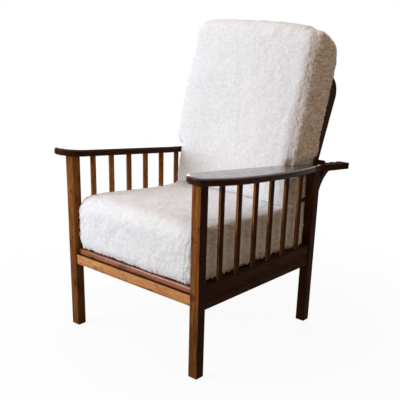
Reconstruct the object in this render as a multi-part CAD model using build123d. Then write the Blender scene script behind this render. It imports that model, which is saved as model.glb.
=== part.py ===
"""Mission style reclining armchair with slatted sides, bowed arms and a notched rack behind each arm.

X runs across the chair, Y from front to rear, Z up. The origin is on the floor under the middle of the chair.
Left and right are as seen from the front, so right is +X. All lengths are in millimetres.
"""

import os
from math import atan, atan2, cos, degrees, radians, sin, tan

from build123d import *

os.makedirs("parts", exist_ok=True)

# The standing frame
frame_width = 600.0  # over the outer faces of the legs
frame_depth = 632.0  # over the front and rear faces of the legs
leg_width = 35.0
leg_depth = 33.0
leg_edge_radius = 2.5
foot_chamfer = 2.0
joint_clearance = 0.15
tenon_end_gap = 0.8
cut_overrun = 5.0

# The arms
arm_height_front = 612.0  # underside of the arm at the front face of the front leg
arm_height_rear = 558.0  # underside of the arm at the rear face of the rear leg
arm_thickness = 22.0
arm_overhang_front = 33.0
arm_overhang_outside = 58.0
arm_overhang_inside = 29.0
arm_top_radius = 8.0
arm_bottom_chamfer = 4.0
arm_overhang_rear = 1.2  # outside the leg, where the bowed edge ends in a small nib
# The front edge turns into the bowed outer edge at a share of the arm's width
nose_width_share = 0.76
nose_tangent_shares = (0.70, 0.24)  # of the front edge, taken by the rounding at its inner and outer end
# The bowed edge turns at two shares of the arm's length between the legs' front faces
bow_turn_shares = (0.13, 0.611)
bow_tangent_shares = (0.20, 0.78)  # of the stretch between the turns, taken by the curve at each
arm_tenon_width = 17.0
arm_tenon_height = 12.0

# The tongue behind each arm, with its rack of notches
tongue_length = 209.0  # behind the rear face of the rear leg
tongue_width = 44.0
tongue_inset = 3.0  # inside the outer face of the leg
tongue_taper_length = 150.0  # over which the inner edge of the arm draws in to the tongue
tongue_taper_radius = 400.0
tongue_tip_radius = 6.0
tongue_edge_chamfer = 2.0
rod_diameter = 15.0
rod_end_gap = 1.0
rod_chamfer = 1.0
rod_rest_gap = 0.05
rod_stile_gap = 3.54  # between the rod in the first notches and the stiles before it
notch_count = 3
notch_pitch = 49.0
notch_radius = 15.0
notch_depth = 5.0
notch_cheek = 27.0  # wood left outside the notches
tooth_radius = 3.0  # rounding of the wood between the notches

# The struts under the tongues
bracket_width = 24.0
bracket_height = 82.0
bracket_reach = 75.0
bracket_gap_height = 30.0
bracket_gap_reach = 30.0
# The concave rear edge of the strut passes through this share of its reach and of its height
bracket_reach_share = 0.33
bracket_height_share = 0.61

# The slatted sides
slat_count = 6
slat_width = 19.0
slat_thickness = 9.0
slat_inset = 7.0  # outer face of the slats inside the outer face of the leg
slat_edge_radius = 1.0
slat_foot_housing = 12.0
slat_head_housing = 8.0
rail_inset = 4.0  # outer face of every rail inside the outer face of the leg
side_rail_thickness = 24.0
side_rail_bottom = 222.0
side_rail_height = 46.0
slat_rail_height = 28.0
moulding_band = 21.0  # plain band below the moulded one
moulding_depth = 3.0
reed_count = 3
reed_radius = 2.6
rail_edge_radius = 1.5
side_tenon_thickness = 10.0
side_tenon_length = 16.0
side_tenon_shoulder = 5.0
side_tenon_setback = 10.5  # outer face of the tenon inside the outer face of the leg

# The front and rear rails
front_rail_bottom = 234.0
front_rail_height = 35.0
front_rail_thickness = 24.0
bead_height = 4.5
bead_groove = 1.5
rear_rail_height = 74.0
rear_rail_thickness = 22.0
cross_tenon_thickness = 10.0
cross_tenon_length = 12.0

# The seat frame, its boards and the ledgers that carry it
seat_frame_thickness = 21.0
seat_frame_setback = 14.0  # behind the front face of the leg
seat_frame_side_gap = 0.5
seat_frame_rear_gap = 8.5
seat_member_front = 50.0
seat_member_rear = 50.0
seat_member_side = 40.0
seat_nose_radius = 9.0
seat_nose_lower_radius = 3.0
seat_tenon_width = 16.0
seat_tenon_thickness = 8.0
seat_tenon_length = 24.0
seat_board_count = 5
seat_board_width = 64.0
seat_board_thickness = 12.0
seat_board_seat = 12.0
ledger_width = 20.0
ledger_height = 20.0
ledger_end_gap = 1.0

# The hinges between the rear rail and the back
back_lean = 20.5  # degrees from upright
hinge_rise = 10.0  # pin above the top of the rear rail
hinge_offset = 95.0  # from the stile to the hinge
hinge_length = 50.0
hinge_leaf_height = 36.0
hinge_leaf_thickness = 2.5
knuckle_count = 3
knuckle_radius = 5.0
knuckle_gap = 0.3
pin_diameter = 4.0
pin_clearance = 0.05
pin_head_radius = 3.2
pin_head_height = 1.5

# The back frame, measured along and square to its lean
back_side_gap = 3.0  # between each stile and the tongue beside it
stile_thickness = 24.0
stile_length = 580.0
stile_drop = 10.0  # below the hinge pin
stile_foot_depth = 39.0
stile_head_depth = 53.0
stile_head_radius = 60.0
stile_edge_chamfer = 1.5
back_clearance = 0.5
back_rail_thickness = 22.0
back_rail_foot = 50.0
back_rail_drop = 8.0
back_rail_head = 55.0
back_rail_head_drop = 55.0  # top of the head rail below the top of the stiles
back_tenon_length = 14.0
back_tenon_thickness = 8.0
back_tenon_shoulder = 6.0
back_slat_count = 5
back_slat_width = 40.0
back_slat_thickness = 9.0
back_slat_housing = 10.0

# The cushions
cushion_clearance = 0.4
seat_cushion_side_gap = 13.0  # to the rail on each side
seat_cushion_front = 179.0
seat_cushion_rear = 155.0
seat_cushion_overhang = 6.0  # in front of the seat frame
seat_cushion_foot_gap = 48.0  # from the hinge pin to the lower rear edge
seat_cushion_head_gap = 12.0  # from the hinge pin to the upper rear edge
seat_cushion_radii = (30.0, 22.0, 40.0, 52.0)
seat_cushion_crown = 8.0
seat_cushion_tuck = 8.0  # rise of its underside at both ends
back_cushion_overhang = 12.0  # outside each stile
back_cushion_arm_gap = 6.0  # between its lower part and each arm
back_cushion_foot = 142.0  # above the pin, along the lean
back_cushion_head = 726.0
back_cushion_head_drop = 30.0  # the rear of the head is lower than its front
back_cushion_foot_thickness = 114.0
back_cushion_head_thickness = 188.0
back_cushion_sag = 38.0  # the front of the foot hangs lower than its back
back_cushion_radii = (24.0, 30.0, 96.0, 54.0)
back_cushion_belly = 12.0
back_cushion_tuck = 22.0  # by which its rear face draws off the stiles at both ends
shoulder_gap = 10.4  # above the arms, where the cushion widens over them
# Across the cushion in half widths, and the size, the crown and the tuck of its section there
end_width_shares = (0.0, 0.35, 0.62, 0.80, 0.91, 0.97, 1.0)
end_thickness_shares = (1.0, 0.999, 0.996, 0.99, 0.98, 0.96, 0.92)
end_length_shares = (1.0, 1.0, 0.998, 0.994, 0.986, 0.974, 0.955)
end_crown_shares = (1.0, 0.90, 0.68, 0.44, 0.22, 0.08, 0.0)
end_tuck_shares = (0.0, 0.0, 0.0, 0.0, 0.0, 0.45, 1.0)

# Places that follow from the sizes above
leg_outer = frame_width / 2
leg_inner = leg_outer - leg_width
front_face = -frame_depth / 2
rear_face = frame_depth / 2
front_leg_back = front_face + leg_depth
rear_leg_front = rear_face - leg_depth
arm_slope = atan((arm_height_front - arm_height_rear) / frame_depth)
arm_frame = Pos(0, front_face, arm_height_front) * Rot(X=-degrees(arm_slope))
arm_inner = leg_inner - arm_overhang_inside
arm_outer = leg_outer + arm_overhang_outside
tongue_outer = leg_outer - tongue_inset
tongue_inner = tongue_outer - tongue_width
back_width = 2 * (tongue_inner - back_side_gap)
rail_outer = leg_outer - rail_inset
rail_inner = rail_outer - side_rail_thickness
side_rail_top = side_rail_bottom + side_rail_height
slat_rail_top = side_rail_top + slat_rail_height
front_rail_top = front_rail_bottom + front_rail_height
seat_frame_top = front_rail_top + seat_frame_thickness
hinge_axis_y = rear_leg_front - knuckle_radius + rail_inset - back_clearance
hinge_axis_z = slat_rail_top + hinge_rise
rear_rail_front = hinge_axis_y + knuckle_radius + back_clearance
back_frame = Pos(0, hinge_axis_y, hinge_axis_z) * Rot(X=-back_lean)
back_rear = -(knuckle_radius + back_clearance)
rod_radius = rod_diameter / 2
rod_length_half = leg_outer - tongue_inset - notch_cheek - rod_end_gap
middle_y = (rear_face + tongue_length - frame_depth / 2 - arm_overhang_front) / 2


def block(x, y, z):
    """A box between the low and high limits given for each axis."""
    size = [max(side) - min(side) for side in (x, y, z)]
    return Pos(min(x), min(y), min(z)) * Box(*size, align=(Align.MIN,) * 3)


def grown(limits, clearance=joint_clearance):
    """The limits of a mortise round a tenon."""
    return min(limits) - clearance, max(limits) + clearance


def between(middle, width):
    """The limits of a width centred on a place."""
    return middle - width / 2, middle + width / 2


def side_plate(profile, x):
    """A profile drawn in Y and Z, given thickness along X."""
    return extrude(Plane.YZ.offset(min(x)) * make_face(profile), max(x) - min(x))


def under_arm(y):
    """Height of the underside of the arm at a place along the chair."""
    return arm_height_front - (y - front_face) * tan(arm_slope)


def turn_at(before, corner, after):
    """The angle through which an outline turns at a corner."""
    arriving = atan2(corner[0] - before[0], corner[1] - before[1])
    leaving = atan2(after[0] - corner[0], after[1] - corner[1])
    return abs(leaving - arriving)


def upright_edges(solid):
    return solid.edges().filter_by(Axis.Z)


pieces = {}


def pair(name, solid):
    """Keeps the right hand piece and its mirror image on the left."""
    pieces[f"{name}_right"] = solid
    pieces[f"{name}_left"] = mirror(solid, about=Plane.YZ)


# Tenons: where they are, so that their mortises follow
leg_middle = leg_outer - leg_width / 2
leg_tenon_x = between(leg_middle, arm_tenon_width)
side_tenon_x = (leg_outer - side_tenon_setback - side_tenon_thickness, leg_outer - side_tenon_setback)
side_tenon_z = (side_rail_bottom + side_tenon_shoulder, side_rail_top - side_tenon_shoulder)
slat_tenon_z = (side_rail_top + side_tenon_shoulder, slat_rail_top - side_tenon_shoulder)
front_tenon_z = (front_rail_bottom + side_tenon_shoulder, front_rail_top - side_tenon_shoulder)
rear_rail_top = side_rail_bottom + rear_rail_height
rear_tenon_z = (side_rail_bottom + side_tenon_shoulder, rear_rail_top - side_tenon_shoulder)
front_rail_y = (front_face + rail_inset, front_face + rail_inset + front_rail_thickness)
rear_rail_y = (rear_rail_front, rear_rail_front + rear_rail_thickness)
front_tenon_y = between(sum(front_rail_y) / 2, cross_tenon_thickness)
rear_tenon_y = between(sum(rear_rail_y) / 2, cross_tenon_thickness)
cross_mortise_x = (leg_inner - cut_overrun, leg_inner + cross_tenon_length + tenon_end_gap)

# Arms: a bowed paddle with a rounded front end, running on as the tongue
bow_length = frame_depth - leg_depth
tongue_end = frame_depth + tongue_length
bow_turns = [(arm_outer, share * bow_length) for share in bow_turn_shares]
corners = [
    (tongue_inner, bow_length),
    (arm_inner, bow_length - tongue_taper_length),
    (arm_inner, -arm_overhang_front),
    (arm_inner + nose_width_share * (arm_outer - arm_inner), -arm_overhang_front),
    *bow_turns,
    (leg_outer + arm_overhang_rear, bow_length),
]
front_edge = corners[3][0] - corners[2][0]
outer_edge = bow_turns[1][1] - bow_turns[0][1]
tangents = [share * front_edge for share in nose_tangent_shares]
tangents += [share * outer_edge for share in bow_tangent_shares]
corner_radii = [tongue_taper_radius] + [
    tangent / tan(turn_at(*corners[place : place + 3]) / 2) for place, tangent in enumerate(tangents, start=1)
]
bowed_edge = FilletPolyline(*corners, radius=corner_radii)
paddle = extrude(make_face([*bowed_edge.edges(), Line(corners[-1], corners[0])]), arm_thickness)
paddle = fillet(paddle.faces().sort_by(Axis.Z)[-1].edges(), arm_top_radius)
paddle = chamfer(paddle.faces().sort_by(Axis.Z)[0].edges(), arm_bottom_chamfer)
tongue = block((tongue_inner, tongue_outer), (bow_length - leg_width, tongue_end), (0, arm_thickness))
tongue = fillet(upright_edges(tongue).group_by(Axis.Y)[-1], tongue_tip_radius)
for face in (tongue.faces().sort_by(Axis.Z)[0], tongue.faces().sort_by(Axis.Z)[-1]):
    tongue = chamfer(face.edges(), tongue_edge_chamfer)
arm = paddle + tongue

# Rack: scooped notches in the inner part of the tongue, closed outside by the cheek. The rod in the first
# notches lies behind the stiles, so its place along the arm follows from their lean and from the hinge.
rod_height = arm_thickness - notch_depth + rod_radius + rod_rest_gap
lean = radians(back_lean)
hinge_from_arm = (hinge_axis_y - front_face) * cos(lean) + (arm_height_front - hinge_axis_z) * sin(lean)
rod_from_hinge = back_rear + rod_radius + rod_stile_gap
notch_first = (rod_from_hinge + hinge_from_arm + rod_height * sin(lean - arm_slope)) / cos(lean - arm_slope)
notch_places = [notch_first + index * notch_pitch for index in range(notch_count)]
notch_x = (tongue_inner - cut_overrun, tongue_outer - notch_cheek)
for place in notch_places:
    scoop = Cylinder(notch_radius, max(notch_x) - min(notch_x), rotation=(0, 90, 0))
    arm -= Pos(sum(notch_x) / 2, place, arm_thickness - notch_depth + notch_radius) * scoop
notch_half = (notch_radius**2 - (notch_radius - notch_depth) ** 2) ** 0.5
tooth_edges = [
    edge
    for edge in arm.edges().filter_by(Axis.X)
    for place in notch_places
    if abs(abs(edge.center().Y - place) - notch_half) < tooth_radius
    and edge.center().Z > arm_thickness - notch_depth / 2
]
arm = arm_frame * fillet(tooth_edges, tooth_radius)

# Support rod, lying in the first pair of notches
rod = Cylinder(rod_radius, 2 * rod_length_half, rotation=(0, 90, 0))
rod = chamfer(rod.edges(), rod_chamfer)
rod_place = Pos(0, notch_places[0], rod_height)
pieces["support_rod"] = arm_frame * rod_place * rod

# Legs: square posts, cut to the slope of the arm, with a tenon into it
reach = frame_width + frame_depth
below_arm = arm_frame * block((-reach, reach), (-reach, 2 * reach), (-reach, 0))
front_side_y = (front_leg_back - side_tenon_length, front_leg_back)
rear_side_y = (rear_leg_front, rear_leg_front + side_tenon_length)
for name, y, cross_y, cross_z, side_y in (
    ("front_leg", (front_face, front_leg_back), front_tenon_y, front_tenon_z, front_side_y),
    ("rear_leg", (rear_leg_front, rear_face), rear_tenon_y, rear_tenon_z, rear_side_y),
):
    middle = sum(y) / 2
    leg = block((leg_inner, leg_outer), y, (0, max(arm_height_front, arm_height_rear) + arm_thickness))
    leg = fillet(upright_edges(leg), leg_edge_radius)
    leg = chamfer(leg.faces().sort_by(Axis.Z)[0].edges(), foot_chamfer)
    leg &= below_arm
    tenon_y = between(middle, arm_tenon_width)
    tenon_z = (under_arm(middle) - arm_tenon_height, under_arm(middle) + arm_tenon_height)
    leg += block(leg_tenon_x, tenon_y, tenon_z)
    arm -= block(grown(leg_tenon_x), grown(tenon_y), grown(tenon_z, tenon_end_gap))
    leg -= block(cross_mortise_x, grown(cross_y), grown(cross_z))
    for z in (side_tenon_z, slat_tenon_z):
        leg -= block(grown(side_tenon_x), grown(side_y, tenon_end_gap), grown(z))
    pair(name, leg)

# Slats: housed in the slat rail below and in the arm above
slat_outer = leg_outer - slat_inset
slat_x = (slat_outer - slat_thickness, slat_outer)
side_clear = rear_leg_front - front_leg_back
slat_gap = (side_clear - slat_count * slat_width) / (slat_count + 1)
slat_rail = block((rail_inner, rail_outer), (front_leg_back, rear_leg_front), (side_rail_top, slat_rail_top))
slat_rail = fillet(slat_rail.edges().filter_by(Axis.Y).group_by(Axis.Z)[-1], rail_edge_radius)
side_tenon_y = (front_leg_back - side_tenon_length, rear_leg_front + side_tenon_length)
slat_rail += block(side_tenon_x, side_tenon_y, slat_tenon_z)
for index in range(slat_count):
    low = front_leg_back + slat_gap + index * (slat_width + slat_gap)
    slat_y = (low, low + slat_width)
    slat_z = (slat_rail_top - slat_foot_housing, under_arm(sum(slat_y) / 2) + slat_head_housing)
    slat = block(slat_x, slat_y, slat_z)
    slat = fillet(upright_edges(slat), slat_edge_radius)
    pocket = block(grown(slat_x), grown(slat_y), grown(slat_z, tenon_end_gap))
    slat_rail -= pocket
    arm -= pocket
    pair(f"slat_{index + 1}", slat)
pair("arm", arm)

# Brackets: curved struts from the rear legs to the tongues, with an open triangle behind the leg
bracket_x = (tongue_outer - bracket_width, tongue_outer)
under_leg = under_arm(rear_face)
bracket_foot = (rear_face, under_leg - bracket_height)
bracket_end_y = rear_face + bracket_reach
bracket_middle = (
    rear_face + bracket_reach_share * bracket_reach,
    under_leg - (1 - bracket_height_share) * bracket_height,
)
bracket_top = (bracket_end_y, under_leg)
gap_corner = (rear_face, under_leg - bracket_gap_height)
bracket_outline = [
    ThreePointArc(bracket_foot, bracket_middle, bracket_top),
    Line(bracket_top, (rear_face + bracket_gap_reach, under_leg)),
    Line((rear_face + bracket_gap_reach, under_leg), gap_corner),
    Line(gap_corner, bracket_foot),
]
pair("arm_bracket", side_plate(bracket_outline, bracket_x) & below_arm)

# Side rails: the slat rail above, and below it a rail with a reeded moulding over a plain band
pair("slat_rail", slat_rail)
side_rail = block((rail_inner, rail_outer), (front_leg_back, rear_leg_front), (side_rail_bottom, side_rail_top))
side_rail = fillet(side_rail.edges().filter_by(Axis.Y).group_by(Axis.Z)[0], rail_edge_radius)
moulding_bottom = side_rail_bottom + moulding_band
moulding_face = rail_outer - moulding_depth
side_rail_y = (front_leg_back, rear_leg_front)
side_rail -= block((moulding_face, rail_outer + cut_overrun), side_rail_y, (moulding_bottom, side_rail_top))
reed_pitch = (side_rail_top - moulding_bottom) / (reed_count + 1)
for index in range(reed_count):
    reed = Cylinder(reed_radius, side_clear, rotation=(90, 0, 0))
    side_rail += Pos(moulding_face, 0, moulding_bottom + (index + 1) * reed_pitch) * reed
side_rail += block(side_tenon_x, side_tenon_y, side_tenon_z)
pair("side_rail", side_rail)

# Front and rear rails, tenoned between the legs
cross_x = (-leg_inner, leg_inner)
cross_tenon_x = (-leg_inner - cross_tenon_length, leg_inner + cross_tenon_length)
front_rail = block(cross_x, front_rail_y, (front_rail_bottom, front_rail_top))
front_rail = fillet(front_rail.edges().filter_by(Axis.X).group_by(Axis.Z)[0], rail_edge_radius)
groove_z = (front_rail_bottom + bead_height, front_rail_bottom + bead_height + bead_groove)
front_rail -= block(cross_x, (min(front_rail_y) - cut_overrun, min(front_rail_y) + bead_groove), groove_z)
pieces["front_rail"] = front_rail + block(cross_tenon_x, front_tenon_y, front_tenon_z)
rear_rail = block(cross_x, rear_rail_y, (side_rail_bottom, rear_rail_top))
pieces["rear_rail"] = rear_rail + block(cross_tenon_x, rear_tenon_y, rear_tenon_z)

# Ledgers on the side rails, and the seat frame lying on them and on the front rail
ledger_y = (front_leg_back + ledger_end_gap, rear_leg_front - ledger_end_gap)
ledger_x = (rail_inner - ledger_width, rail_inner)
pair("seat_ledger", block(ledger_x, ledger_y, (front_rail_top - ledger_height, front_rail_top)))
seat_half = leg_inner - seat_frame_side_gap
seat_z = (front_rail_top, seat_frame_top)
seat_front_y = (front_face + seat_frame_setback, front_face + seat_frame_setback + seat_member_front)
seat_rear_edge = rear_rail_front - seat_frame_rear_gap
seat_rear_y = (seat_rear_edge - seat_member_rear, seat_rear_edge)
side_member_x = (seat_half - seat_member_side, seat_half)
seat_tenon_x = between(sum(side_member_x) / 2 + seat_board_seat / 2, seat_tenon_width)
seat_tenon_bottom = front_rail_top + side_tenon_shoulder
seat_tenon_z = (seat_tenon_bottom, seat_tenon_bottom + seat_tenon_thickness)
seat_tenon_y = (max(seat_front_y) - seat_tenon_length, min(seat_rear_y) + seat_tenon_length)
seat_front = block((-seat_half, seat_half), seat_front_y, seat_z)
nose_edges = seat_front.edges().filter_by(Axis.X).group_by(Axis.Y)[0].sort_by(Axis.Z)
seat_front = fillet(nose_edges[-1], seat_nose_radius)
lower_edges = seat_front.edges().filter_by(Axis.X).group_by(Axis.Z)[0].sort_by(Axis.Y)
seat_front = fillet(lower_edges[0], seat_nose_lower_radius)
seat_rear = block((-seat_half, seat_half), seat_rear_y, seat_z)
for side in (-1, 1):
    mortise = block(
        grown([side * x for x in seat_tenon_x]), grown(seat_tenon_y, tenon_end_gap), grown(seat_tenon_z)
    )
    seat_front -= mortise
    seat_rear -= mortise
pieces["seat_frame_front"] = seat_front
pieces["seat_frame_rear"] = seat_rear
board_half = min(side_member_x) + seat_board_seat
board_z = (seat_frame_top - seat_board_thickness, seat_frame_top)
side_member = block(side_member_x, (max(seat_front_y), min(seat_rear_y)), seat_z)
side_member += block(seat_tenon_x, seat_tenon_y, seat_tenon_z)
seat_clear = min(seat_rear_y) - max(seat_front_y)
board_gap = (seat_clear - seat_board_count * seat_board_width) / (seat_board_count + 1)
for index in range(seat_board_count):
    low = max(seat_front_y) + board_gap + index * (seat_board_width + board_gap)
    board_y = (low, low + seat_board_width)
    board_seat_z = (min(board_z), max(board_z) + cut_overrun)
    side_member -= block((0, board_half + joint_clearance), grown(board_y), board_seat_z)
    pieces[f"seat_board_{index + 1}"] = block((-board_half, board_half), board_y, board_z)
pair("seat_frame_side", side_member)

# Hinges: knuckles round a loose pin, one leaf on the rear rail and one on the foot rail of the back
hinge_x = (back_width / 2 - hinge_offset - hinge_length, back_width / 2 - hinge_offset)
knuckle_length = hinge_length / knuckle_count
knuckle_ends = [min(hinge_x) + index * knuckle_length for index in range(knuckle_count + 1)]
knuckle_limits = list(zip(knuckle_ends, knuckle_ends[1:]))
bore = Pos(sum(hinge_x) / 2, 0, 0) * Cylinder(
    pin_diameter / 2 + pin_clearance, hinge_length + cut_overrun, rotation=(0, 90, 0)
)


def knuckle(limits):
    length = max(limits) - min(limits) - knuckle_gap
    return Pos(sum(limits) / 2, 0, 0) * Cylinder(knuckle_radius, length, rotation=(0, 90, 0))


def clear_of(limits):
    """The space that a knuckle of the other leaf needs."""
    return block(grown(limits, 0), (-reach, reach), between(0, 2 * (knuckle_radius + back_clearance)))


leaf_y = (knuckle_radius + back_clearance - hinge_leaf_thickness, knuckle_radius + back_clearance)
fixed_leaf = block(hinge_x, leaf_y, (-hinge_leaf_height, 0))
moving_leaf = block(hinge_x, (-leaf_y[1], -leaf_y[0]), (0, hinge_leaf_height))
for index, limits in enumerate(knuckle_limits):
    if index % 2:
        fixed_leaf -= clear_of(limits)
        moving_leaf += knuckle(limits)
    else:
        moving_leaf -= clear_of(limits)
        fixed_leaf += knuckle(limits)
pair("hinge_fixed", Pos(0, hinge_axis_y, hinge_axis_z) * (fixed_leaf - bore))
pair("hinge_moving", back_frame * (moving_leaf - bore))
pin = Cylinder(pin_diameter / 2, hinge_length + 2 * knuckle_gap, rotation=(0, 90, 0))
pin_head = Cylinder(pin_head_radius, pin_head_height, rotation=(0, 90, 0))
head_place = (hinge_length + pin_head_height) / 2 + knuckle_gap
pin += Pos(head_place, 0, 0) * pin_head + Pos(-head_place, 0, 0) * pin_head
pair("hinge_pin", Pos(sum(hinge_x) / 2, hinge_axis_y, hinge_axis_z) * pin)

# Back stiles: boards on edge, deeper towards the rounded head
stile_x = (back_width / 2 - stile_thickness, back_width / 2)
head_top = stile_length
foot_front = back_rear - stile_foot_depth
head_front = back_rear - stile_head_depth
head_centre = (back_rear - stile_head_radius, head_top - stile_head_radius)
head_height = (stile_head_radius**2 - (head_centre[0] - head_front) ** 2) ** 0.5
head_front_end = (head_front, head_centre[1] + head_height)
arc_middle = tuple(centre + stile_head_radius / 2**0.5 for centre in head_centre)
stile = side_plate(
    [
        Line((back_rear, -stile_drop), (foot_front, -stile_drop)),
        Line((foot_front, -stile_drop), head_front_end),
        ThreePointArc(head_front_end, arc_middle, (back_rear, head_centre[1])),
        Line((back_rear, head_centre[1]), (back_rear, -stile_drop)),
    ],
    stile_x,
)
outline_edges = stile.faces().sort_by(Axis.X)[-1].edges() + stile.faces().sort_by(Axis.X)[0].edges()
stile = chamfer(outline_edges, stile_edge_chamfer)

# Back rails tenoned into the stiles, with upright slats housed between them
rail_y = (back_rear - back_rail_thickness, back_rear)
foot_z = (-back_rail_drop, back_rail_foot - back_rail_drop)
head_z = (stile_length - back_rail_head_drop - back_rail_head, stile_length - back_rail_head_drop)
tenon_y = between(sum(rail_y) / 2, back_tenon_thickness)
inside = min(stile_x)
back_rails = {}
for name, z in (("back_foot_rail", foot_z), ("back_head_rail", head_z)):
    tenon_z = (min(z) + back_tenon_shoulder, max(z) - back_tenon_shoulder)
    rail = block((-inside, inside), rail_y, z)
    back_rails[name] = rail + block((-inside - back_tenon_length, inside + back_tenon_length), tenon_y, tenon_z)
    mortise_x = (inside - cut_overrun, inside + back_tenon_length + tenon_end_gap)
    stile -= block(mortise_x, grown(tenon_y), grown(tenon_z))
pair("back_stile", back_frame * stile)
back_slat_y = between(sum(rail_y) / 2, back_slat_thickness)
back_slat_z = (max(foot_z) - back_slat_housing, min(head_z) + back_slat_housing)
back_slat_gap = (2 * inside - back_slat_count * back_slat_width) / (back_slat_count + 1)
for index in range(back_slat_count):
    low = -inside + back_slat_gap + index * (back_slat_width + back_slat_gap)
    slat_limits = (low, low + back_slat_width)
    housing = block(grown(slat_limits), grown(back_slat_y), grown(back_slat_z, tenon_end_gap))
    for name in back_rails:
        back_rails[name] -= housing
    pieces[f"back_slat_{index + 1}"] = back_frame * block(slat_limits, back_slat_y, back_slat_z)
for name, rail in back_rails.items():
    pieces[name] = back_frame * rail


def cushion(corners, radii, width, thin, raised, crown, tuck):
    """A stuffed cushion of rounded sections, which shrink towards both ends and draw off the face they rest on.

    Its thin direction is an axis of the sections. The raised corners rise by the crown, the others by the tuck.
    """
    rest = [corner for number, corner in enumerate(corners) if number not in raised]
    middle = [sum(corner[axis] for corner in rest) / len(rest) for axis in range(2)]
    shares = list(
        zip(end_width_shares, end_thickness_shares, end_length_shares, end_crown_shares, end_tuck_shares)
    )
    stations = [(-place, *others) for place, *others in shares[:0:-1]] + shares
    sections = []
    for place, thickness, length, crown_share, tuck_share in stations:
        points = []
        for number, corner in enumerate(corners):
            points.append(
                tuple(
                    middle[axis]
                    + (corner[axis] - middle[axis]) * (thickness if axis == thin else length)
                    + (crown[axis] * crown_share if number in raised else tuck[axis] * tuck_share)
                    for axis in range(2)
                )
            )
        outline = FilletPolyline(*points, radius=[radius * thickness for radius in radii], close=True)
        sections.append(Plane.YZ.offset(place * width / 2) * make_face(outline))
    return loft(sections, ruled=True)


# Seat cushion: thick at the front, its rear face sloped like the back
seat_cushion_y = min(seat_front_y) - seat_cushion_overhang
seat_floor = seat_frame_top + cushion_clearance
seat_corners = [
    (seat_cushion_y, seat_floor),
    (hinge_axis_y - seat_cushion_foot_gap, seat_floor),
    (hinge_axis_y - seat_cushion_head_gap, seat_floor + seat_cushion_rear),
    (seat_cushion_y, seat_floor + seat_cushion_front),
]
seat_cushion_width = 2 * (rail_inner - seat_cushion_side_gap)
pieces["seat_cushion"] = cushion(
    seat_corners,
    seat_cushion_radii,
    seat_cushion_width,
    thin=1,
    raised=(2, 3),
    crown=(0, seat_cushion_crown),
    tuck=(0, seat_cushion_tuck),
)

# Back cushion: fuller at the head, with its lower part narrowed to pass between the arms
front_taper = (stile_head_depth - stile_foot_depth) / stile_length
back_of = [foot_front - front_taper * z - cushion_clearance for z in (back_cushion_foot, back_cushion_head)]
back_corners = [
    (back_of[0] - back_cushion_foot_thickness, back_cushion_foot - back_cushion_sag),
    (back_of[0], back_cushion_foot),
    (back_of[1], back_cushion_head - back_cushion_head_drop),
    (back_of[1] - back_cushion_head_thickness, back_cushion_head),
]
back_cushion_width = back_width + 2 * back_cushion_overhang
back_cushion = back_frame * cushion(
    back_corners,
    back_cushion_radii,
    back_cushion_width,
    thin=0,
    raised=(0, 3),
    crown=(-back_cushion_belly, 0),
    tuck=(-back_cushion_tuck, 0),
)
waist_half = arm_inner - back_cushion_arm_gap
shoulder_height = under_arm(rear_leg_front - tongue_taper_length) + arm_thickness + shoulder_gap
for side in (-1, 1):
    waist_x = (side * waist_half, side * back_cushion_width)
    back_cushion -= block(waist_x, (-reach, reach), (0, shoulder_height))
pieces["back_cushion"] = back_cushion

# Every piece moves together so that the origin lies under the middle of the chair
for name, piece in pieces.items():
    export_step(Pos(0, -middle_y, 0) * piece, f"parts/{name}.step")
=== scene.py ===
import math

import bmesh
import bpy
from mathutils import Matrix, Vector, noise


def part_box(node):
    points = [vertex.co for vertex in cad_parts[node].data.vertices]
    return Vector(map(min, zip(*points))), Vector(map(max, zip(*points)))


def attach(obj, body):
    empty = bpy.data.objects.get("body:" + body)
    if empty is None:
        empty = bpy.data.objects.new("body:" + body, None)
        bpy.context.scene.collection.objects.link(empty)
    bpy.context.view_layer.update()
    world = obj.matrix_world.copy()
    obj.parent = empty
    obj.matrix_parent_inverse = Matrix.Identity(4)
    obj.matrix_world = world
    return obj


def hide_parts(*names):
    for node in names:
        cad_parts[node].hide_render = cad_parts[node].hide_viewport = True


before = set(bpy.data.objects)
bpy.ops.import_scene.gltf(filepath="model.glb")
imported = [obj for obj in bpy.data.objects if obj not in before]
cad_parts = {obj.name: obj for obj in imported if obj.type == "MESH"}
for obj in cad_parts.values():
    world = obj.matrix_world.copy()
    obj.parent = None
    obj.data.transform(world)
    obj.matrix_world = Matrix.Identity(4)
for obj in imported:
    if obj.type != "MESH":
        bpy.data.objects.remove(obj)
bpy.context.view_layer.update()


# The studio: a camera at standing height off the right front corner of the chair, white surroundings that the eye
# and gloss see, cool window light from the front left, a panel behind on the left that lays a sheen on the arms,
# and warm dim light from all round, which leaves the right side in shade.
camera_place = Vector((1.453, -1.736, 1.016))
camera_yaw, camera_pitch, camera_roll = (math.radians(angle) for angle in (40.82, 19.41, 1.49))
ahead = Vector((
    -math.sin(camera_yaw) * math.cos(camera_pitch),
    math.cos(camera_yaw) * math.cos(camera_pitch),
    -math.sin(camera_pitch),
))
level_right = Vector((math.cos(camera_yaw), math.sin(camera_yaw), 0))
level_up = level_right.cross(ahead)
right = math.cos(camera_roll) * level_right + math.sin(camera_roll) * level_up
up = math.cos(camera_roll) * level_up - math.sin(camera_roll) * level_right
camera = bpy.data.objects.new("camera", bpy.data.cameras.new("camera"))
camera.data.sensor_width = 36
camera.data.lens = 58.7
camera.data.shift_y = 0.147
camera.matrix_world = Matrix.Translation(camera_place) @ Matrix((right, up, -ahead)).transposed().to_4x4()
bpy.context.scene.collection.objects.link(camera)
bpy.context.scene.camera = camera
bpy.context.scene.view_settings.view_transform = "Standard"


def linear(hex_code):
    """An sRGB hex colour as linear red, green, blue and alpha."""
    values = [int(hex_code[place : place + 2], 16) / 255 for place in (1, 3, 5)]
    return [v / 12.92 if v <= 0.04045 else ((v + 0.055) / 1.055) ** 2.4 for v in values] + [1.0]


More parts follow.
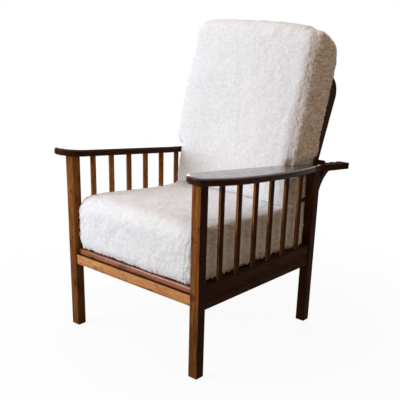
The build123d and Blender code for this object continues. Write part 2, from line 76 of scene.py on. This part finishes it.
def add(tree, kind, settings=None, **inputs):
    """Adds a node. An input is a value or an output to link, named or as i and its number."""
    node = tree.nodes.new("ShaderNode" + kind)
    for name, value in (settings or {}).items():
        setattr(node, name, value)
    for name, value in inputs.items():
        socket = node.inputs[int(name[1:]) if name[1:].isdigit() else name.replace("_", " ")]
        if isinstance(value, bpy.types.NodeSocket):
            tree.links.new(value, socket)
        else:
            socket.default_value = value
    return node


world = bpy.data.worlds.new("white studio")
bpy.context.scene.world = world
world.use_nodes = True
tree = world.node_tree
tree.nodes.clear()
path = add(tree, "LightPath").outputs
seen = add(tree, "Math", {"operation": "MAXIMUM"}, i0=path["Is Camera Ray"], i1=path["Is Glossy Ray"])
seen = add(tree, "Math", {"operation": "MAXIMUM"}, i0=seen.outputs[0], i1=path["Is Transmission Ray"])
white = add(tree, "Background", Color=linear("#FFFFFF"), Strength=1.0)
warm = add(tree, "Background", Color=linear("#FFDCBC"), Strength=0.42)
sky = add(tree, "MixShader", i0=seen.outputs[0], i1=warm.outputs[0], i2=white.outputs[0])
add(tree, "OutputWorld", Surface=sky.outputs[0])


def bare_material(name):
    """A new material and its tree of nodes, still empty."""
    material = bpy.data.materials.new(name)
    material.use_nodes = True
    material.node_tree.nodes.clear()
    return material, material.node_tree


sheet = bmesh.new()
bmesh.ops.create_grid(sheet, x_segments=1, y_segments=1, size=8.0)
floor = bpy.data.objects.new("floor", bpy.data.meshes.new("floor"))
sheet.to_mesh(floor.data)
sheet.free()
bpy.context.scene.collection.objects.link(floor)
paper, tree = bare_material("seamless paper")
path = add(tree, "LightPath").outputs
seen = add(tree, "Math", {"operation": "MAXIMUM"}, i0=path["Is Camera Ray"], i1=path["Is Glossy Ray"])
# The eye sees white paper with the chair's shadow on it, and only white further off. Light bounces off it as off a
# grey floor, so that the undersides stay dark.
lit = add(tree, "BsdfDiffuse", Color=linear("#F4F4F2"))
glow = add(tree, "Emission", Color=linear("#FFFFFF"), Strength=1.0)
distance = add(tree, "VectorMath", {"operation": "LENGTH"}, i0=add(tree, "TexCoord").outputs["Object"])
glow_share = add(tree, "MapRange", Value=distance.outputs["Value"], i1=0.5, i2=1.3, i3=0.93, i4=1.0)
face = add(tree, "MixShader", i0=glow_share.outputs[0], i1=lit.outputs[0], i2=glow.outputs[0])
bounce = add(tree, "BsdfDiffuse", Color=linear("#94908A"))
surface = add(tree, "MixShader", i0=seen.outputs[0], i1=bounce.outputs[0], i2=face.outputs[0])
add(tree, "OutputMaterial", Surface=surface.outputs[0])
floor.data.materials.append(paper)

for name, place, target, size, power, colour in (
    ("front left window", (-1.7, -2.75, 1.55), (0, 0, 0.5), (1.8, 1.8), 94, "#E3F0FE"),
    ("overhead fill", (-0.7, 0.2, 3.0), (0, 0, 0.5), (2.2, 2.2), 14, "#E6F0FF"),
    ("panel behind on the left", (-2.1, 2.4, 1.0), (0, 0, 0.6), (2.6, 1.3), 55, "#FFFFFF"),
):
    lamp = bpy.data.lights.new(name, "AREA")
    lamp.shape = "RECTANGLE"
    lamp.size, lamp.size_y = size
    lamp.energy = power
    lamp.color = linear(colour)[:3]
    lamp_object = bpy.data.objects.new(name, lamp)
    aim = Vector(target) - Vector(place)
    lamp_object.matrix_world = Matrix.Translation(place) @ aim.to_track_quat("-Z", "Y").to_matrix().to_4x4()
    bpy.context.scene.collection.objects.link(lamp_object)


# The legs are four square posts of beech, planed, stained dark and thinly varnished, with tenons up into the arms.
# Their faces towards the window carry painted light, a lighter orange brown copy of the stain. The stain is worn
# through on the edges and darker towards the feet. The rear legs carry little of the painted light and stay dark.
mm = 0.001
stain = {"pale": "#422616", "middle": "#2E1A0F", "dark": "#160C07", "worn": "#8C5A30"}
# The lighter copy of the stain, painted as light on the faces towards the window
painted_lit = {"pale": "#A56934", "middle": "#824C25", "dark": "#3A2210"}
rgba = {"data_type": "RGBA"}


# Stained beech: an even grain with short flecks, along each piece, under stain that lies in darker bands and
# patches. Its pores and flecks are half a millimetre wide and finer than a pixel, so they are drawn three times as
# coarse.
def stained_beech(name, along, stain, painted_lit, painted_light_share=1.0, darkened_low=0.0, lean=0.0, roughness=0.5, specular=0.02):
    """Beech, its grain along an axis that may lean back from upright, with painted light and darkening low down by
    these shares.
    """
    material, tree = bare_material(name)
    place = add(tree, "TexCoord").outputs
    turned = add(tree, "Mapping", Vector=place["Object"], Rotation=(lean, 0, 0)).outputs[0]
    grain = {}
    for mark, across, length, detail, distortion in (
        ("figure", 9 * mm, 180 * mm, 3.0, 0.5),
        ("fibre", 3.2 * mm, 60 * mm, 3.0, 0.0),
        ("fleck", 1.6 * mm, 7 * mm, 1.0, 0.0),
        ("patch", 26 * mm, 60 * mm, 4.0, 0.8),
    ):
        scale = [1 / length if axis == along else 1 / across for axis in "XYZ"]
        stretched = add(tree, "Mapping", Vector=turned, Scale=scale).outputs[0]
        marks = add(
            tree, "TexNoise", Vector=stretched, Scale=1.0, Detail=detail, Roughness=0.6, Distortion=distortion
        )
        grain[mark] = marks.outputs[0]

    # The stain, and a lighter copy of it as painted light
    coats = []
    for coat, low, high, most in ((stain, 0.42, 0.64, 0.6), (painted_lit, 0.44, 0.68, 0.65)):
        bands = add(tree, "MapRange", Value=grain["figure"], i1=0.36, i2=0.64).outputs[0]
        banded = add(tree, "Mix", rgba, i0=bands, i6=linear(coat["middle"]), i7=linear(coat["pale"])).outputs[2]
        fibres = add(tree, "MapRange", Value=grain["fibre"], i1=low, i2=high, i3=0.0, i4=most).outputs[0]
        coats.append(add(tree, "Mix", rgba, i0=fibres, i6=banded, i7=linear(coat["dark"])).outputs[2])

    # Painted light on what looks to the front and, in the left half of the chair, on what looks inwards
    facing = add(tree, "SeparateXYZ", Vector=place["Normal"]).outputs
    spot = add(tree, "SeparateXYZ", Vector=place["Object"]).outputs
    left_half = add(tree, "MapRange", Value=spot["X"], i1=0.1, i2=-0.1).outputs[0]
    inward_painted_light = add(tree, "MapRange", Value=facing["X"], i1=0.35, i2=0.85, i3=0.0, i4=painted_light_share).outputs[0]
    inner_painted_light = add(tree, "Math", {"operation": "MULTIPLY"}, i0=left_half, i1=inward_painted_light).outputs[0]
    front_painted_light = add(tree, "MapRange", Value=facing["Y"], i1=-0.35, i2=-0.85, i3=0.0, i4=painted_light_share).outputs[0]
    painted_light_mask = add(tree, "Math", {"operation": "MAXIMUM"}, i0=front_painted_light, i1=inner_painted_light).outputs[0]
    body = add(tree, "Mix", rgba, i0=painted_light_mask, i6=coats[0], i7=coats[1]).outputs[2]

    # Darker low down, dark patches and flecks over it, and the bare wood of the worn edges
    low_darkening = add(tree, "MapRange", Value=spot["Z"], i1=0.5, i2=0.0, i3=0.0, i4=darkened_low).outputs[0]
    dim = add(tree, "MapRange", Value=grain["patch"], i1=0.54, i2=0.70, i3=0.0, i4=0.75).outputs[0]
    fleck = add(tree, "MapRange", Value=grain["fleck"], i1=0.60, i2=0.72, i3=0.0, i4=0.35).outputs[0]
    rounded = add(tree, "Bevel", {"samples": 4}, Radius=1.6 * mm).outputs[0]
    flat = add(tree, "NewGeometry").outputs["Normal"]
    turn = add(tree, "VectorMath", {"operation": "DOT_PRODUCT"}, i0=rounded, i1=flat).outputs["Value"]
    edge = add(tree, "MapRange", Value=turn, i1=0.995, i2=0.90, i3=0.0, i4=0.8).outputs[0]
    wear_and_shade = add(tree, "MapRange", Value=grain["patch"], i1=0.35, i2=0.6).outputs[0]
    wear = add(tree, "Math", {"operation": "MULTIPLY"}, i0=edge, i1=wear_and_shade).outputs[0]
    for share, colour in ((low_darkening, "dark"), (dim, "dark"), (fleck, "dark"), (wear, "worn")):
        body = add(tree, "Mix", rgba, i0=share, i6=body, i7=linear(stain[colour])).outputs[2]

    height = add(tree, "Math", {"operation": "SUBTRACT"}, i0=grain["fibre"], i1=fleck).outputs[0]
    relief = add(tree, "Bump", Height=height, Strength=0.3, Distance=0.2 * mm, Normal=rounded).outputs[0]
    gloss = add(
        tree, "MapRange", Value=grain["patch"], i1=0.35, i2=0.7, i3=roughness - 0.05, i4=roughness + 0.08
    ).outputs[0]
    varnish = add(tree, "BsdfPrincipled", Base_Color=body, Roughness=gloss, IOR=1.5, Normal=relief)
    varnish.name = "varnish"
    varnish.inputs["Specular IOR Level"].default_value = specular
    add(tree, "OutputMaterial", Surface=varnish.outputs[0])
    return material


def finish_with(material, *names):
    """Gives CAD nodes a material."""
    for name in names:
        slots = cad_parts[name].data.materials
        slots.clear()
        slots.append(material)


sides = ("left", "right")
front_leg_beech = stained_beech("stained beech, legs", "Z", stain, painted_lit, darkened_low=0.45)
rear_leg_beech = stained_beech("stained beech, rear legs", "Z", stain, painted_lit, painted_light_share=0.1, darkened_low=0.3)
finish_with(front_leg_beech, *(f"front_leg_{side}" for side in sides))
finish_with(rear_leg_beech, *(f"rear_leg_{side}" for side in sides))

# The sides: six slim slats of beech each, housed in a slat rail over a moulded side rail, both tenoned into the
# legs. The left slats have their broad faces in the window light. Slats and rails carry painted light on their faces
# towards the window.
slat_beech = stained_beech("stained beech, slats", "Z", stain, painted_lit)
side_beech = stained_beech("stained beech, front to rear", "Y", stain, painted_lit)
finish_with(slat_beech, *(f"slat_{number}_{side}" for number in range(1, 7) for side in sides))
finish_with(side_beech, *(f"{rail}_{side}" for rail in ("side_rail", "slat_rail") for side in sides))

# The front and rear rails tie the sides together, tenoned into the legs. The front one carries the palest painted
# light of all on its front face and has a thin varnish that still shines; the rear one carries little painted light.
rail_painted_lit = {"pale": "#E8A664", "middle": "#CC894C", "dark": "#744828"}
front_rail_beech = stained_beech("stained beech, front rail", "X", stain, rail_painted_lit)
cross_beech = stained_beech("stained beech, side to side", "X", stain, painted_lit, painted_light_share=0.15)


def glaze(material, depth, roughness, ior=1.5):
    """Clear varnish over a finish, by its depth, its roughness and its IOR."""
    varnish = material.node_tree.nodes["varnish"]
    varnish.inputs["Coat Weight"].default_value = depth
    varnish.inputs["Coat Roughness"].default_value = roughness
    varnish.inputs["Coat IOR"].default_value = ior


glaze(front_rail_beech, 0.3, 0.1)
finish_with(front_rail_beech, "front_rail")
finish_with(cross_beech, "rear_rail")

# The seat frame lies on the front rail and on ledgers on the side rails, with boards across it for the cushion. Its
# front and rear members are redder and more thickly varnished than the rest, with painted light, a lighter red copy of
# their stain, on their front faces, and the rounded nose of the front one catches the light.
nose_stain = {"pale": "#5E301C", "middle": "#482314", "dark": "#24110B", "worn": "#C08A58"}
nose_painted_lit = {"pale": "#B96430", "middle": "#9A5026", "dark": "#4C2511"}
nose_beech = stained_beech("varnished beech, seat frame", "X", nose_stain, nose_painted_lit, specular=0.15)
glaze(nose_beech, 0.6, 0.05)
finish_with(nose_beech, "seat_frame_front", "seat_frame_rear")
finish_with(side_beech, *(f"{member}_{side}" for member in ("seat_frame_side", "seat_ledger") for side in sides))
finish_with(cross_beech, *(f"seat_board_{number}" for number in range(1, 6)))

# The arms are broad bowed boards of the same beech, stained almost black brown, on the tenons of the legs, with
# the rack for the rod cut in their tongues. Their thick varnish has its own sheen where hands polish it: on the
# tops, as far back as the rear legs, and on the right arm more than on the left.
arm_stain = {"pale": "#4A2A1D", "middle": "#351D14", "dark": "#1B0E0A", "worn": "#6E4630"}
arm_beech = stained_beech("polished dark beech, arms", "Y", arm_stain, arm_stain, painted_light_share=0.0, roughness=0.26)
glaze(arm_beech, 1.0, 0.12, ior=1.65)
tree = arm_beech.node_tree
varnish = tree.nodes["varnish"]
place = add(tree, "TexCoord").outputs
upwards = add(tree, "SeparateXYZ", Vector=place["Normal"]).outputs["Z"]
spot = add(tree, "SeparateXYZ", Vector=place["Object"]).outputs
polish = add(tree, "MapRange", Value=upwards, i1=0.35, i2=0.8).outputs[0]
gloss = varnish.inputs["Roughness"].links[0].from_socket
for axis, polished, dry, least_polish, dullest in (("Y", 0.2, 0.24, 0.0, 0.95), ("X", 0.1, -0.1, 0.3, 0.6)):
    reached = add(tree, "MapRange", Value=spot[axis], i1=polished, i2=dry, i3=1.0, i4=least_polish).outputs[0]
    polish = add(tree, "Math", {"operation": "MULTIPLY"}, i0=polish, i1=reached).outputs[0]
    dull = add(tree, "MapRange", Value=spot[axis], i1=polished, i2=dry, i3=0.0, i4=dullest).outputs[0]
    gloss = add(tree, "Math", {"operation": "MAXIMUM"}, i0=gloss, i1=dull).outputs[0]
tree.links.new(polish, varnish.inputs["Coat Weight"])
tree.links.new(gloss, varnish.inputs["Roughness"])
finish_with(arm_beech, *(f"arm_{side}" for side in sides))

# The brackets are struts with a concave rear edge, sawn from the same beech and fixed between the rear legs and
# the tongues. The rod is a plain turned bar that lies loose in the first notches.
finish_with(rear_leg_beech, *(f"arm_bracket_{side}" for side in sides))
finish_with(cross_beech, "support_rod")

# The back frame leans back on its hinges: two stiles on edge with a rail at the foot and head tenoned into them,
# and five slats housed between the rails, all of the same beech, in the shade of the cushion, with little painted
# light.
back_lean = math.radians(20.5)
back_beech = stained_beech("stained beech, back frame", "Z", stain, painted_lit, painted_light_share=0.15, lean=back_lean)
finish_with(back_beech, *(f"back_stile_{side}" for side in sides), *(f"back_slat_{number}" for number in range(1, 6)))
finish_with(cross_beech, "back_foot_rail", "back_head_rail")

# The back turns on a pair of plain butt hinges, pressed from steel sheet and rolled round loose pins. Old bare
# steel is dull, and its tarnish lies in darker and rougher spots.
tarnish_width = 9 * mm
hinge_steel, tree = bare_material("aged steel, hinges")
place = add(tree, "TexCoord").outputs["Object"]
tarnish = add(tree, "TexNoise", Vector=place, Scale=1 / tarnish_width, Detail=4.0).outputs[0]
colour = add(tree, "Mix", rgba, i0=tarnish, i6=linear("#5B554C"), i7=linear("#8C8579")).outputs[2]
dull = add(tree, "MapRange", Value=tarnish, i3=0.35, i4=0.6).outputs[0]
metal = add(tree, "BsdfPrincipled", Base_Color=colour, Metallic=1.0, Roughness=dull)
add(tree, "OutputMaterial", Surface=metal.outputs[0])
finish_with(hinge_steel, *(f"hinge_{part}_{side}" for part in ("fixed", "moving", "pin") for side in sides))


# The seat cushion is a thick soft pad in a cover of cream sheepskin pile, and lies loose on the boards. It is
# squared up to the rear, where its pile swells past the stiles, fuller at its front left, and its front hem hangs
# over the seat frame.

# Sheepskin pile: dense matt wool in small curled tufts that part into soft hollows. Light goes deep into it, so
# its shade is soft. Wool fibres are finer than a pixel, so the curls are drawn 3 mm wide, the tufts 9 mm wide and,
# on the sides, locks 8 mm wide and 18 mm long.
curl_width, tuft_width, lock_width, lock_length, drift_width = 3 * mm, 9 * mm, 8 * mm, 18 * mm, 110 * mm
sheepskin, tree = bare_material("cream sheepskin pile")
place = add(tree, "TexCoord").outputs
curls = add(tree, "TexNoise", Vector=place["Object"], Scale=1 / curl_width, Detail=2.0, Roughness=0.6).outputs[0]
tufts = add(tree, "TexNoise", Vector=place["Object"], Scale=1 / tuft_width, Detail=2.0, Distortion=0.8).outputs[0]
drift = add(tree, "TexNoise", Vector=place["Object"], Scale=1 / drift_width, Detail=2.0).outputs[0]
lying = add(
    tree, "Mapping", Vector=place["Object"], Scale=(1 / lock_width, 1 / lock_length, 1 / lock_width)
).outputs[0]
locks = add(tree, "TexNoise", Vector=lying, Scale=1.0, Detail=3.0, Roughness=0.6, Distortion=1.2).outputs[0]
# The sides rub against the arms, which parts the pile and shows more of its tan roots. The tan in the hollows is
# also painted shade, strongest on the right side, which is in shade, and high up under the arms.
sideways = add(tree, "SeparateXYZ", Vector=place["Normal"]).outputs["X"]
shade_and_roots_right = add(tree, "MapRange", Value=sideways, i1=0.6, i2=0.97).outputs[0]
shade_and_roots_left = add(tree, "MapRange", Value=sideways, i1=-0.6, i2=-0.97, i3=0.0, i4=0.3).outputs[0]
wear_and_shade = add(tree, "Math", {"operation": "MAXIMUM"}, i0=shade_and_roots_right, i1=shade_and_roots_left).outputs[0]
height = add(tree, "SeparateXYZ", Vector=place["Object"]).outputs["Z"]
high = add(tree, "MapRange", Value=height, i1=0.36, i2=0.47, i3=0.25, i4=0.8).outputs[0]
wear_and_shade = add(tree, "Math", {"operation": "MULTIPLY"}, i0=wear_and_shade, i1=high).outputs[0]
roots_and_shade = add(tree, "MapRange", Value=locks, i1=0.36, i2=0.62).outputs[0]
roots_and_shade = add(tree, "Math", {"operation": "MULTIPLY"}, i0=roots_and_shade, i1=wear_and_shade).outputs[0]
tips = add(tree, "MapRange", Value=tufts, i1=0.36, i2=0.56).outputs[0]
cream = add(tree, "MapRange", Value=drift, i1=0.42, i2=0.65, i3=0.0, i4=0.1).outputs[0]
colour = linear("#EBEBEB")
for share, wool_colour in ((tips, "#F7F8FA"), (cream, "#ECE6DC"), (roots_and_shade, "#AC9178")):
    colour = add(tree, "Mix", rgba, i0=share, i6=colour, i7=linear(wool_colour)).outputs[2]
height = add(tree, "Math", {"operation": "MULTIPLY_ADD"}, i0=tufts, i1=1.5, i2=curls).outputs[0]
relief = add(tree, "Bump", Height=height, Strength=0.22, Distance=1.0 * mm).outputs[0]
wool = add(tree, "BsdfPrincipled", Base_Color=colour, Roughness=0.9, Normal=relief)
for socket, value in (
    ("Specular IOR Level", 0.1),
    ("Sheen Weight", 0.25),
    ("Sheen Roughness", 0.5),
    ("Subsurface Weight", 1.0),
    ("Subsurface Radius", (1.0, 1.0, 1.0)),
    ("Subsurface Scale", 18 * mm),
):
    wool.inputs[socket].default_value = value
add(tree, "OutputMaterial", Surface=wool.outputs[0])


def bake_modifiers(piece):
    """Makes what a piece's modifiers show its own mesh."""
    shown = piece.evaluated_get(bpy.context.evaluated_depsgraph_get())
    mesh = bpy.data.meshes.new_from_object(shown)
    piece.modifiers.clear()
    old, piece.data = piece.data, mesh
    bpy.data.meshes.remove(old)


def soften(shell, times):
    """Evens out a mesh, again and again."""
    for _ in range(times):
        bmesh.ops.smooth_vert(shell, verts=shell.verts, factor=0.5, use_axis_x=True, use_axis_y=True, use_axis_z=True)
    shell.normal_update()


pile_edge = 5 * mm


def stuffed(name, node, puffs):
    """A cushion in the space of its CAD solid, as an even mesh with puffs of pile joined on and all smoothed.

    A puff is given by its lowest and highest corner on the right, in millimetres, and the sides that it is on.
    """
    piece = bpy.data.objects.new(name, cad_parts[node].data.copy())
    bpy.context.scene.collection.objects.link(piece)
    shell = bmesh.new()
    shell.from_mesh(piece.data)
    bmesh.ops.remove_doubles(shell, verts=shell.verts, dist=0.02 * mm)
    bmesh.ops.recalc_face_normals(shell, faces=shell.faces)
    for low, high, puffed_sides in puffs:
        for side in puffed_sides:
            middle = [(one + other) / 2 * mm for one, other in zip(low, high)]
            size = [(other - one) * mm for one, other in zip(low, high)]
            where = Matrix.Translation((side * middle[0], *middle[1:])) @ Matrix.Diagonal((*size, 1))
            bmesh.ops.create_cube(shell, size=1.0, matrix=where)
    shell.to_mesh(piece.data)
    shell.free()
    even = piece.modifiers.new("even faces", "REMESH")
    even.mode = "VOXEL"
    even.voxel_size = pile_edge
    bake_modifiers(piece)
    shell = bmesh.new()
    shell.from_mesh(piece.data)
    soften(shell, 8)
    shell.to_mesh(piece.data)
    shell.free()
    return piece


def smoothstep(value, low, high):
    """A share from 0 to 1 that leaves both ends softly."""
    share = min(1.0, max(0.0, (value - low) / (high - low)))
    return share * share * (3 - 2 * share)


noise.seed_set(1)  # noise_vector takes its offsets from the clock if it isn't seeded, and each run has other tufts


def raise_pile(piece, tuft, depth, side_depth, swell, fall, reshape, settle, seed):
    """Reshapes a cushion, pushes tufts of pile of a width and depth out of it that hang down, and settles it."""
    finer = piece.modifiers.new("finer", "SUBSURF")
    finer.levels = finer.render_levels = 1
    bake_modifiers(piece)
    shell = bmesh.new()
    shell.from_mesh(piece.data)
    for vertex in shell.verts:
        vertex.co = reshape(vertex.co)
    soften(shell, 5)
    offset = Vector((seed, seed * 1.7, seed * 0.6))
    places = []
    for vertex in shell.verts:
        here = vertex.co
        # Tufts are longer where the pile hangs, and none stands in a row with the next
        even = Vector((here.x, here.y, here.z * (1 - 0.55 * fall)))
        warp = noise.noise_vector(here / (2.6 * tuft) + offset) * 0.7
        distances, _ = noise.voronoi(even / tuft + offset + warp)
        lock = max(0.0, 1 - distances[0] * 1.15)
        wave = noise.noise(here / (6 * tuft) - offset) + 0.6 * noise.noise(here / (2.4 * tuft) + 2 * offset)
        length = depth + (side_depth - depth) * smoothstep(abs(here.x), 200 * mm, 250 * mm)
        height = length * (lock - 0.3) + swell * wave
        places.append(settle(here + vertex.normal * height - Vector((0, 0, fall * lock * length))))
    for vertex, settled in zip(shell.verts, places):
        vertex.co = settled
    shell.to_mesh(piece.data)
    shell.free()
    piece.data.polygons.foreach_set("use_smooth", [True] * len(piece.data.polygons))


# The back frame as the pile meets it: the hinge line, how far ahead of it the stiles' front faces lie at their foot
# and how much more up their length, and their inner and outer faces
hinge_y, hinge_z = 193.5 * mm, 306.0 * mm
stile_face, stile_flare = 46.5 * mm, 14 / 580
stile_inner, stile_outer, stile_side_gap = 226 * mm, 250 * mm, 1.5 * mm
to_rear = Vector((0, math.cos(back_lean), -math.sin(back_lean)))
to_head = Vector((0, math.sin(back_lean), math.cos(back_lean)))


def from_hinge(place):
    """How far a point lies behind the hinge line, square to the back's lean, and how far up the lean."""
    reach = place - Vector((place.x, hinge_y, hinge_z))
    return reach.dot(to_rear), reach.dot(to_head)


def clear_of_stiles(place):
    """Draws a point out of the stiles, forwards or past their outer sides."""
    behind, height = from_hinge(place)
    sunk = behind + stile_face + height * stile_flare
    out = stile_outer + stile_side_gap
    if sunk > 0 and abs(place.x) < out:
        if abs(place.x) > out - 6 * mm and sunk > 6 * mm:
            place.x = math.copysign(out, place.x)
        elif abs(place.x) > stile_inner - 2 * mm:
            place = place - to_rear * sunk
        elif sunk > 4 * mm:
            place = place - to_rear * (sunk - 4 * mm)
    return place


seat_low, seat_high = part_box("seat_cushion")
crown, left_crown, side_fall = 3 * mm, 6 * mm, 0.008  # its top's swell, more at the front left, and its tilt
left_hang, hem_hang = 7 * mm, Vector((0, -3 * mm, -5 * mm))  # how far its front left side and its hem hang out


def seat_shape(place):
    """The cushion is fuller at its front left, and its front hem hangs down."""
    high = smoothstep(place.z, seat_low.z, seat_high.z)
    left = smoothstep(-place.x, 0, 220 * mm)
    front = smoothstep(-place.y, 50 * mm, 300 * mm)
    place = place + Vector((0, 0, high * (crown + left_crown * left * front - side_fall * place.x)))
    place.x -= left_hang * smoothstep(-place.x, 150 * mm, 250 * mm) * front
    hem = smoothstep(seat_low.z - place.z, -20 * mm, 0) * smoothstep(seat_low.y - place.y, -30 * mm, 0)
    return place + hem * hem_hang


def seat_settled(place):
    """The underside stays flat on the boards, except in front of the seat frame, where the pile hangs down."""
    if place.y > seat_low.y + 8 * mm:
        place.z = max(place.z, seat_low.z)
    return clear_of_stiles(place)


both = (-1, 1)
seat_puffs = (
    ((150, 40, 350), (258, 164, 449), both),
    ((150, 90, 350), (259, 164, 457), both),
    ((250, 110, 294), (264, 170, 458), both),
    ((250, 160, 294), (264, 212, 450), both),
)
seat = stuffed("seat_cushion_pile", "seat_cushion", seat_puffs)
raise_pile(
    seat,
    tuft=9 * mm,
    depth=2.2 * mm,
    side_depth=7.0 * mm,
    swell=2.4 * mm,
    fall=0.8,
    reshape=seat_shape,
    settle=seat_settled,
    seed=3.1,
)
seat.data.materials.clear()
seat.data.materials.append(sheepskin)
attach(seat, "frame")
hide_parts("seat_cushion")


# The back cushion is a second such pad in the same sheepskin. It stands on the seat cushion and leans on the back
# frame, squeezed between the arms, so it swells above and below them and laps round the stiles, its right edge
# rolls over softly, and its head slumps to the right.
back_half_width = 262 * mm
back_foot, back_rise = 142 * mm, 584 * mm  # up the lean from the hinges: its foot, and its height from there
back_head = 745 * mm  # up the lean, where the rounded head ends
foot_front, head_swell = 171 * mm, 74 * mm  # its front ahead of the hinges at the foot, and how much more above
foot_roll, roll_tightening, head_roll = 64 * mm, 26 * mm, 70 * mm  # radii of the rolled edges
left_swell, low_swell = 12 * mm, 10 * mm  # forwards, on the left, and how much more between the arms
left_bulge, full_bulge = 7 * mm, 6 * mm  # sideways over the left arm, and how much more where the cushion is full
stile_lap, foot_drop = 13 * mm, 8 * mm  # over the stiles' outer sides, and on to the seat cushion
above_arms = 600 * mm  # the height over the floor where it is free to swell sideways


def rounded_edge(one, other, radius):
    """Draws in a point near a square edge, given its distances inside the two faces, to round the edge."""
    first, second = 1 - one / radius, 1 - other / radius
    if min(first, second) <= 0:
        return one, other
    share = (first**5 + second**5) ** 0.2 / math.hypot(first, second)
    return radius * (1 - first * share), radius * (1 - second * share)


def back_shape(place):
    """The right side rolls over softly, the left swells over the arm, and the head slumps a little to the right."""
    behind, height = from_hinge(place)
    share = (height - back_foot) / back_rise
    front = -(foot_front + head_swell * share)
    if place.x > 0:
        side, depth = rounded_edge(back_half_width - place.x, behind - front, foot_roll - roll_tightening * share)
        side, drop = rounded_edge(side, back_head - height, head_roll)
        place = Vector((back_half_width - side, hinge_y, hinge_z))
        place = place + to_rear * (depth + front) + to_head * (back_head - drop)
    else:
        full = 1 - smoothstep(place.z, 800 * mm, 950 * mm)
        low = 1 - smoothstep(place.z, 580 * mm, 660 * mm)
        swollen = (left_swell * full + low_swell * low) * smoothstep(-place.x, 80 * mm, 240 * mm)
        over_arm = smoothstep(-place.x, 150 * mm, 250 * mm) * smoothstep(place.z, above_arms, above_arms + 40 * mm)
        place = place - to_rear * swollen - Vector(((left_bulge + full_bulge * full) * over_arm, 0, 0))
    rear = smoothstep(behind + stile_face + height * stile_flare, -50 * mm, -10 * mm)
    beside = smoothstep(abs(place.x), 232 * mm, stile_outer) * smoothstep(place.z, above_arms, above_arms + 30 * mm)
    place = place + to_rear * stile_lap * rear * beside * (1 - smoothstep(place.z, 700 * mm, 950 * mm))
    foot = 1 - smoothstep(height, 150 * mm, 200 * mm)
    place.z -= foot_drop * foot * smoothstep(-behind, 80 * mm, 110 * mm)
    slump = 0.03 * place.x + 0.04 * max(0.0, place.x - 100 * mm)
    return place - Vector((0, 0, slump * smoothstep(place.z, 860 * mm, 1040 * mm)))


# The room that the arms leave the pile, with clearance, also as the back turns
front_waist, rear_waist = 233 * mm, 249.5 * mm  # half the gap between the arms, where they are broadest and at the rear
arm_underside, arm_slope = 574.5 * mm, 0.0863  # at the middle of the chair, and by which it falls to the rear
turning_underside, turning_slope = 543 * mm, 0.2  # 100 mm behind the middle, and by which it rises from there
arm_topside, topside_slope = 594 * mm, 0.15  # as far back as the rear legs, and by which it rises from there
widest_below_arms, near_face = 262.5 * mm, 9 * mm  # half its width there, and what counts as near an arm's face


def back_settled(place):
    """Keeps the pile clear of the arms, also as the back turns, and of the stiles."""
    y, z = place.y, place.z
    waist = front_waist + (rear_waist - front_waist) * smoothstep(y, 30 * mm, 190 * mm)
    low = min(arm_underside - arm_slope * y, turning_underside + turning_slope * (y - 100 * mm))
    high = arm_topside + topside_slope * max(0.0, y - 190 * mm)
    if abs(place.x) > waist and low < z < high:
        if z > high - near_face:
            place.z = high
        elif z < low + near_face:
            place.z = low
        else:
            place.x = math.copysign(waist, place.x)
    if z < high:
        place.x = min(widest_below_arms, max(-widest_below_arms, place.x))
    return clear_of_stiles(place)


right_only = (1,)
back_puffs = (
    ((150, 128, 560), (249, 256, 650), both),
    ((150, 130, 597), (260, 260, 660), both),
    ((150, 73, 462), (261, 222, 490), right_only),
    ((150, 80, 462), (261, 222, 518), right_only),
    ((150, 88, 462), (261, 222, 548), right_only),
    ((250, 150, 462), (263.5, 246, 536), both),
)
back = stuffed("back_cushion_pile", "back_cushion", back_puffs)
raise_pile(
    back,
    tuft=8 * mm,
    depth=2.2 * mm,
    side_depth=3.2 * mm,
    swell=2.2 * mm,
    fall=0.3,
    reshape=back_shape,
    settle=back_settled,
    seed=8.4,
)
back.data.materials.clear()
back.data.materials.append(sheepskin)
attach(back, "back")
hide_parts("back_cushion")
